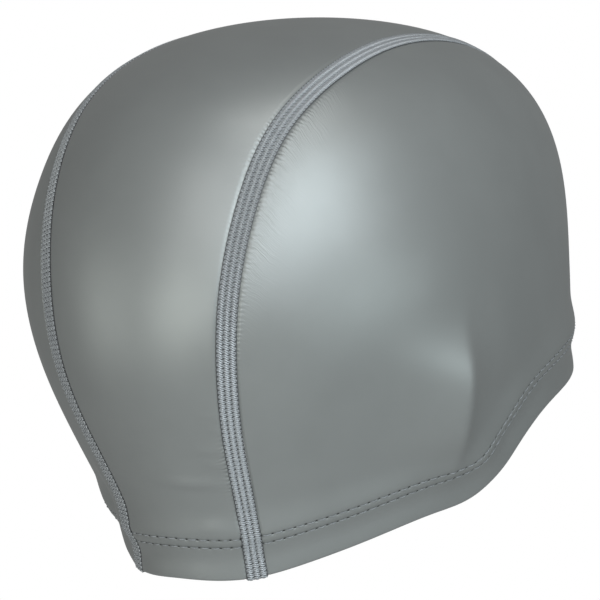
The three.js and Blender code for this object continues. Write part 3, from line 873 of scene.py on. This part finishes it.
class Board:
    """The nodes of a material or a world."""

    def __init__(self, owner):
        self.owner = owner
        owner.use_nodes = True
        self.tree = owner.node_tree
        self.tree.nodes.clear()

    def node(self, kind, settings=None, inputs=None):
        """Adds a node, with its settings first and then the values or links of its sockets."""
        made = self.tree.nodes.new(kind)
        for key, value in (settings or {}).items():
            setattr(made, key, value)
        for key, value in (inputs or {}).items():
            self.feed(made.inputs[key], value)
        return made

    def feed(self, socket, value):
        if isinstance(value, Wire):
            self.tree.links.new(value.socket, socket)
        else:
            socket.default_value = value

    def surface(self, **sockets):
        """Ends a material with one shader, whose sockets are named with low lines for spaces."""
        inputs = {name.replace("_", " "): value for name, value in sockets.items()}
        shader = self.node("ShaderNodeBsdfPrincipled", {}, inputs)
        self.node("ShaderNodeOutputMaterial", {}, {"Surface": Wire(self, shader.outputs[0])})
        return self.owner

    def uv(self, name):
        """The two parts of a UV map."""
        place = self.node("ShaderNodeUVMap", {"uv_map": name})
        parts = self.node("ShaderNodeSeparateXYZ", {}, {0: Wire(self, place.outputs[0])})
        return Wire(self, parts.outputs[0]), Wire(self, parts.outputs[1])

    def place(self):
        return Wire(self, self.node("ShaderNodeTexCoord").outputs["Object"])

    def noise(self, scale, detail, vector=None):
        inputs = {"Vector": vector or self.place(), "Scale": scale, "Detail": detail}
        return Wire(self, self.node("ShaderNodeTexNoise", {}, inputs).outputs["Fac"])

    def pair(self, x, y, z=0.0):
        node = self.node("ShaderNodeCombineXYZ", {}, {0: x, 1: y, 2: z})
        return Wire(self, node.outputs[0])

    def mix(self, share, a, b):
        """One colour turning into another."""
        node = self.node("ShaderNodeMix", {"data_type": "RGBA"}, {0: share, 6: a, 7: b})
        return Wire(self, node.outputs[2])

    def bump(self, height):
        """A normal from a height in millimetres."""
        inputs = {"Strength": 1.0, "Distance": MM, "Height": height}
        return Wire(self, self.node("ShaderNodeBump", {}, inputs).outputs[0])


# The marks of the hem's stitches on the coating, in millimetres: the needle pricks, dented and darkened as
# painted shade in the holes, and the band of painted shade along both rows
PRICK_LENGTH = 0.34
PRICK_WIDTH = 0.3
FURROW_SHADE_WIDTH = 0.28

# The knit of the inside, in millimetres
WALE = 0.45
COURSE = 0.36

# Fans of fine drawn lines: run along the seam edge, spread along it, reach from it and depth, all
# in millimetres. They lean by FAN_LEAN along the seam for each millimetre away from it.
SIDE_FANS = {"right": [(132, 36, 7, 0.3)], "left": [(113, 22, 4, 0.12)]}
CENTRE_FANS = [(45, 12, 9, 0.16), (140, 16, 4, 0.1)]
FAN_LEAN = 0.55


def tint(colour, share=1.0):
    return (*[part * share for part in colour], 1.0)


def coated_cloth(name, finish, hem, seam, fans):
    """The coated face: satin with metal pigment, pricked along the hem, puckered beside the seams."""
    board = Board(bpy.data.materials.new(name))
    stitch, height = board.uv("hem")
    run, distance = board.uv("seam")
    grain = board.noise(1500, 2)
    mottle = board.noise(38, 3)
    patches = board.noise(9, 2)

    # needle pricks, dented and darkened as painted shade in the holes, and painted shade along both rows
    beside = abs((stitch + 0.5).fraction() - 0.5) * (hem.pitch / MM)
    off_lower, off_upper = height - hem.lower / MM, height - hem.upper / MM
    pricks = beside.bell(PRICK_LENGTH) * (off_lower.bell(PRICK_WIDTH) + off_upper.bell(PRICK_WIDTH))
    furrow_shade = off_lower.bell(FURROW_SHADE_WIDTH) + off_upper.bell(FURROW_SHADE_WIDTH)

    # short drawn lines beside the stitches of the seam, and longer ones that lean away in the fans
    jitter = board.noise(1.0, 2, board.pair(run * 0.35, distance * 0.2))
    drawn = (run * (2 * math.pi / (seam.pitch / MM)) + jitter * 9).wave()
    wander = board.noise(1.0, 1, board.pair(run * 0.12, distance * 0.22))
    leaning = run + distance * FAN_LEAN + wander * 2
    sparse = board.noise(1.0, 2, board.pair(leaning * 1.15, distance * 0.05))
    fine = board.noise(1.0, 3, board.pair(leaning * 2.6, distance * 0.16))
    uneven = board.noise(1.0, 1, board.pair(run * 0.5, 0.0)) * 2.4
    puckers = drawn * distance.bell(0.9) * 0.014
    for middle, spread, reach, depth in fans:
        along = (run - middle).bell(spread)
        short = drawn * (distance / uneven).bell(1.3) * 0.4
        lines = (sparse.step(0.56, 0.7) * 0.2 + (fine - 0.5) * 0.6) * distance.bell(reach)
        puckers = puckers + (short + lines) * along * depth
    relief = puckers + mottle * 0.05 + grain * 0.006 - pricks * 0.22
    base = board.mix(mottle.step(0.3, 0.7), tint(finish.coat, 0.97), tint(finish.coat, 1.03))
    # painted shade: the coating darkened along both stitch rows, where the stitches draw it in
    base = board.mix(furrow_shade * 0.45, base, tint(finish.coat, 0.4))
    # painted shade: the needle holes darkened to 0.12 of the coating's colour
    base = board.mix((pricks * 1.3).step(0.25, 0.9), base, tint(finish.coat, 0.12))
    rough = finish.coat_rough + (patches - 0.5) * 0.05 + grain * 0.03
    return board.surface(
        Base_Color=base, Metallic=finish.coat_metal, Roughness=rough, Normal=board.bump(relief))


def knit_cloth(name, finish):
    """The uncoated inside: a fine plain knit, with painted shade between its loops."""
    board = Board(bpy.data.materials.new(name))
    stitch, height = board.uv("knit")
    wales = (stitch * (2 * math.pi / WALE)).wave()
    courses = (height * (2 * math.pi / COURSE) + wales * 0.8).wave()
    loops = wales * 0.5 + courses * 0.5
    fuzz = board.noise(900, 3)
    # painted shade: the knit darker between its loops and lighter on their tops, following the same heights
    # as its bump
    base = board.mix(loops.step(-0.8, 0.8), tint(finish.knit, 0.72), tint(finish.knit, 1.12))
    return board.surface(
        Base_Color=base, Roughness=0.9, Sheen_Weight=0.3, Normal=board.bump(loops * 0.06 + fuzz * 0.04))


def thread_material(name, colour, metal, share):
    """Textured filament thread, its colour scaled by share; at a low share it is the seam's underlay,
    darkened as painted shade.
    """
    board = Board(bpy.data.materials.new(name))
    fuzz = board.noise(2200, 3)
    broad = board.noise(160, 2)
    base = board.mix(fuzz.step(0.35, 0.7), tint(colour, 0.8 * share), tint(colour, 1.1 * share))
    rough = 0.4 + broad * 0.12
    return board.surface(
        Base_Color=base, Metallic=metal, Roughness=rough, Normal=board.bump(fuzz * 0.04))


def material(name, make, *values):
    return bpy.data.materials.get(name) or make(name, *values)


def thread_finish(finish):
    return material("sewing_thread", thread_material, finish.thread, finish.thread_metal, 1.0)


# The seam's underlay at a fifth of the thread's brightness: painted shade in the gaps between the threads
# and along the seam's edges
def painted_shade_underlay(finish):
    return material("seam_underlay", thread_material, finish.thread, 0.0, 0.2)


def seam_map(wall, form, side, offset):
    """Run along the nearest seam edge and distance from it, in millimetres."""
    across = offset(form.band_half(HEM_TOP))
    line = form.point(form.seam_guide(np.linspace(*SEAM_LINE_ENDS, SEAM_LINE_POINTS), side, across))
    gap, run = nearest_on(wall.base, line)
    return np.stack([run, gap], axis=-1) / MM


def hem_map(wall, stitches):
    """Stitches along the hem, and height over the rim in millimetres."""
    along = np.linspace(0, stitches, wall.height.shape[1])
    return np.stack(np.broadcast_arrays(along, wall.height / MM), axis=-1)


def knit_map(wall):
    """Millimetres along and across the cloth, for the knit."""
    rows, columns = wall.height.shape
    along = runs_along(wall.base[rows // 2])
    up = runs_along(wall.base[:, columns // 2])
    return np.stack(np.broadcast_arrays(along[None], up[:, None]), axis=-1) / MM


def row_at(heights, height):
    return int(np.argmin(np.abs(heights - height)))


def stitch_count(wall, hem):
    row = wall.outer[row_at(wall.height[:, 0], hem.lower)]
    return round(runs_along(row)[-1] / hem.pitch)


def cap_settings(scene):
    return Form(scene.cap_form, scene.cap_seam), scene.cap_seam, scene.cap_hem, scene.cap_finish


def settle(made, nodes):
    """Every piece rides on the one body and stands for its nodes."""
    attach(made, BODY)
    if nodes:
        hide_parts(*nodes)
    made["cap_piece"] = True


def panel(name, fans, wall, places, folds, hem_ends, settings):
    """A panel's cloth, drawn in at its stitches and coated outside. places are its seam map."""
    _, seam, hem, finish = settings
    stitches = stitch_count(wall, hem)
    wall.press(hem_dimples(wall, hem, stitches) + seam_pull(places[..., 1] * MM) + folds)
    materials = [
        material(f"coated_cloth_{name}", coated_cloth, finish, hem, seam, fans),
        material("knit_inside", knit_cloth, finish)]
    maps = {"hem": hem_map(wall, stitches), "seam": places, "knit": knit_map(wall)}
    rows = int(np.argmax(wall.height[:, 0] >= HEM_TOP - ROUNDING))
    knit_rows = (rows, len(wall.height) - (rows + 1) * (hem_ends - 1))
    return closed_cloth(f"{name}_cloth", wall, maps, materials, knit_rows)


class CAP_OT_side_panels(bpy.types.Operator):
    """Makes both side panels, with their share of the turned hem."""

    bl_idname = "swimcap.side_panels"
    bl_label = "Side panels"

    def execute(self, context):
        settings = cap_settings(context.scene)
        form, _, hem, _ = settings
        for name, side in SIDES.items():
            wall = side_wall(form, hem, side)
            places = seam_map(wall, form, side, outside_band)
            made = panel(f"side_panel_{name}", SIDE_FANS[name], wall, places, 0, 1, settings)
            settle(made, [f"side_panel_{name}"])
        return {"FINISHED"}


class CAP_OT_centre_panel(bpy.types.Operator):
    """Makes the centre panel, from the forehead over the crown to the nape."""

    bl_idname = "swimcap.centre_panel"
    bl_label = "Centre panel"

    def execute(self, context):
        settings = cap_settings(context.scene)
        form, _, hem, _ = settings
        wall = centre_wall(form, hem)
        right, left = (seam_map(wall, form, side, inside_band) for side in SIDES.values())
        places = np.where(wall.base[..., :1] < 0, right, left)
        made = panel("centre_panel", CENTRE_FANS, wall, places, nape_folds(form, wall), 2, settings)
        settle(made, ["centre_panel"])
        return {"FINISHED"}


class CAP_OT_seams(bpy.types.Operator):
    """Makes both flat seams out of their threads."""

    bl_idname = "swimcap.seams"
    bl_label = "Seams"

    def execute(self, context):
        form, seam, _, finish = cap_settings(context.scene)
        for name, side in SIDES.items():
            # the first material darkens the seam's underlay as painted shade; the second is the thread
            materials = [painted_shade_underlay(finish), thread_finish(finish)]
            made = seam_piece(form, seam, f"seam_{name}_threads", side, materials)
            settle(made, [f"seam_{name}"])
        return {"FINISHED"}


# A hem stitch runs from hole to hole with its ends under the cloth. The lifts are shares of the
# thread's radius.
STITCH_STEPS = 7
STITCH_GAP = 0.1
STITCH_SINK = 0.28 * MM
STITCH_ARCH = 0.6
STITCH_LIFT = 0.9
LOOPER_LIFT = 0.8
LOOPER_STEPS = 4
THREAD_SIDES = 6


def hem_row_stitches(points, normals, count, radius):
    """Stitches along a row of the grid, each from one needle hole to the next."""
    share = np.linspace(0, 1, STITCH_STEPS)
    phase = STITCH_GAP + (1 - 2 * STITCH_GAP) * share
    place = (np.arange(count)[:, None] + phase) / count * (len(points) - 1)
    outward = unit(part_way(normals, place))
    lift = -STITCH_SINK + (STITCH_SINK + radius * STITCH_LIFT) * np.sin(np.pi * share) ** STITCH_ARCH
    paths = part_way(points, place) + scaled(outward, np.broadcast_to(lift, place.shape))
    return tubes(paths, outward, radius, THREAD_SIDES)


def looper(rows, count, radius):
    """The thread that zigzags between both rows on the inside. rows are points and normals."""
    share = np.linspace(0, 1, count * LOOPER_STEPS + 1)
    swing = np.abs((share * count) % 1 - 0.5) * 2
    spots, outward = [
        [part_way(values, share * (len(values) - 1)) for values in kind] for kind in zip(*rows)]
    normal = unit(outward[0] + outward[1])
    path = scaled(spots[0], swing) + scaled(spots[1], 1 - swing) - normal * radius * LOOPER_LIFT
    return tubes(path[None], normal[None], radius, THREAD_SIDES)


class CAP_OT_hem_stitches(bpy.types.Operator):
    """Sews the twin rows of stitches round the rim, with the looper thread inside."""

    bl_idname = "swimcap.hem_stitches"
    bl_label = "Hem stitches"

    def execute(self, context):
        form, _, hem, finish = cap_settings(context.scene)
        walls = [(side_wall(form, hem, side), [1]) for side in SIDES.values()]
        walls.append((centre_wall(form, hem), [1, -1]))
        parts = []
        for wall, ways in walls:
            stitches = stitch_count(wall, hem)
            wall.press(hem_dimples(wall, hem, stitches))
            for way in ways:
                inside = []
                for height in (hem.lower, hem.upper):
                    i = row_at(wall.height[::way, 0], height)
                    outer, inner, normals = (
                        grid[::way][i] for grid in (wall.outer, wall.inner, wall.normal))
                    parts.append((*hem_row_stitches(outer, normals, stitches, hem.radius), 0))
                    inside.append((inner, normals))
                parts.append((*looper(inside, stitches, hem.radius), 0))
        settle(joined_piece("hem_stitching", parts, [thread_finish(finish)]), [])
        return {"FINISHED"}


# Square soft lights: the azimuth and elevation where each stands, its power and its colour
LIGHTS = {
    "key": (246, 32, 5.6, (0.88, 0.955, 1)),
    "top": (246, 68, 3.0, (1, 1, 0.99)),
    "side": (226, 10, 2.9, (0.88, 0.95, 1)),
    "ear": (264, -8, 2.2, (0.86, 0.98, 1)),
    "behind": (198, 32, 2.1, (1, 0.99, 0.985)),
    "low_behind": (188, -6, 2.9, (0.97, 1, 0.95)),
    "low_left": (140, -6, 1.5, (0.97, 1, 0.95)),
    "low_right": (230, -30, 0.3, (0.92, 1, 0.98)),
}
LIGHT_DISTANCE = 1.1
LIGHT_SIZE = 0.6
FLOOR_RADIUS = 4.5
FLOOR_CORNERS = 96
CAMERA_CLIP = (0.05, 200)


class CAP_OT_stage(bpy.types.Operator):
    """Sets the pale floor, the soft lights and the camera."""

    bl_idname = "swimcap.stage"
    bl_label = "Stage"

    def execute(self, context):
        stage = context.scene.cap_stage
        target = Vector(stage.target)
        bpy.ops.object.select_all(action="DESELECT")
        bpy.ops.mesh.primitive_circle_add(
            vertices=FLOOR_CORNERS, radius=FLOOR_RADIUS, fill_type="NGON",
            location=(0, 0, -stage.floor_drop))
        floor = context.active_object
        floor.name = "floor"
        bpy.ops.object.transform_apply(location=True, rotation=True, scale=True)
        board = Board(bpy.data.materials.new("pale_floor"))
        looked_at = Wire(board, board.node("ShaderNodeLightPath").outputs["Is Camera Ray"])
        glow = board.mix(looked_at, tint((1, 1, 1), stage.floor_glow), tint((1, 1, 1), stage.floor_shade))
        floor.data.materials.append(board.surface(
            Base_Color=(0.8, 0.8, 0.8, 1), Roughness=0.9, Emission_Color=glow, Emission_Strength=1.0))

        for name, (azimuth, elevation, power, colour) in LIGHTS.items():
            bpy.ops.object.light_add(type="AREA")
            light = context.active_object
            light.name = f"light_{name}"
            stand_off(light, target, math.radians(azimuth), math.radians(elevation), LIGHT_DISTANCE)
            light.data.size = LIGHT_SIZE
            light.data.energy, light.data.color = power, colour

        bpy.ops.object.camera_add()
        camera = context.active_object
        camera.name = "camera"
        stand_off(camera, target, stage.azimuth, stage.elevation, stage.distance)
        camera.data.lens = camera.data.sensor_width * stage.distance / stage.view_width
        camera.data.clip_start, camera.data.clip_end = CAMERA_CLIP
        context.scene.camera = camera

        room = Board(bpy.data.worlds.new("pale_room"))
        context.scene.world = room.owner
        seen = room.node("ShaderNodeBackground", {}, {"Color": (1, 1, 1, 1), "Strength": 1.0})
        lit = room.node("ShaderNodeBackground", {}, {"Color": (1, 1, 1, 1), "Strength": stage.surround})
        either = room.node("ShaderNodeMixShader", {}, {
            0: Wire(room, room.node("ShaderNodeLightPath").outputs["Is Camera Ray"]),
            1: Wire(room, lit.outputs[0]), 2: Wire(room, seen.outputs[0])})
        room.node("ShaderNodeOutputWorld", {}, {"Surface": Wire(room, either.outputs[0])})
        context.scene.view_settings.view_transform = "Standard"
        context.scene.view_settings.look = "None"
        return {"FINISHED"}


def stand_off(made, target, azimuth, elevation, distance):
    """Stands a light or camera off the target, looking at it. Azimuth 0 is in front of the face."""
    level = math.cos(elevation)
    way = Vector((math.sin(azimuth) * level, -math.cos(azimuth) * level, math.sin(elevation)))
    made.location = target + way * distance
    made.rotation_mode = "QUATERNION"
    made.rotation_quaternion = way.to_track_quat("Z", "Y")


class CAP_OT_declare(bpy.types.Operator):
    """A step that finishes at once and does nothing."""

    bl_idname = "swimcap.declare"
    bl_label = "Cut sizes"

    def execute(self, context):
        return {"FINISHED"}


class CAP_PT_panel(bpy.types.Panel):
    """Lists the steps and the sizes that they use."""

    bl_idname = "CAP_PT_panel"
    bl_label = "Swim cap"
    bl_space_type = "VIEW_3D"
    bl_region_type = "UI"
    bl_category = "Swim cap"

    def draw(self, context):
        for step in STEPS:
            self.layout.operator(step.bl_idname)
        for settings in SETTINGS:
            box = self.layout.box()
            box.label(text=settings.replace("_", " "))
            group = getattr(context.scene, settings)
            for name in group.bl_rna.properties.keys():
                if name not in ("rna_type", "name"):
                    box.prop(group, name)


STEPS = [
    CAP_OT_side_panels, CAP_OT_centre_panel, CAP_OT_seams, CAP_OT_hem_stitches, CAP_OT_stage,
    CAP_OT_declare]
SETTINGS = {
    "cap_form": CapFormSettings,
    "cap_seam": CapSeamSettings,
    "cap_hem": CapHemSettings,
    "cap_finish": CapFinishSettings,
    "cap_stage": CapStageSettings,
}


def register():
    for kind in [*SETTINGS.values(), *STEPS, CAP_PT_panel]:
        bpy.utils.register_class(kind)
    for name, kind in SETTINGS.items():
        setattr(bpy.types.Scene, name, bpy.props.PointerProperty(type=kind))


def unregister():
    for name in SETTINGS:
        delattr(bpy.types.Scene, name)
    for kind in reversed([*SETTINGS.values(), *STEPS, CAP_PT_panel]):
        bpy.utils.unregister_class(kind)


def main():
    register()
    bpy.ops.swimcap.side_panels()
    bpy.ops.swimcap.centre_panel()
    bpy.ops.swimcap.seams()
    bpy.ops.swimcap.hem_stitches()
    bpy.ops.swimcap.stage()
    bpy.ops.swimcap.declare()


if __name__ == "__main__":
    main()
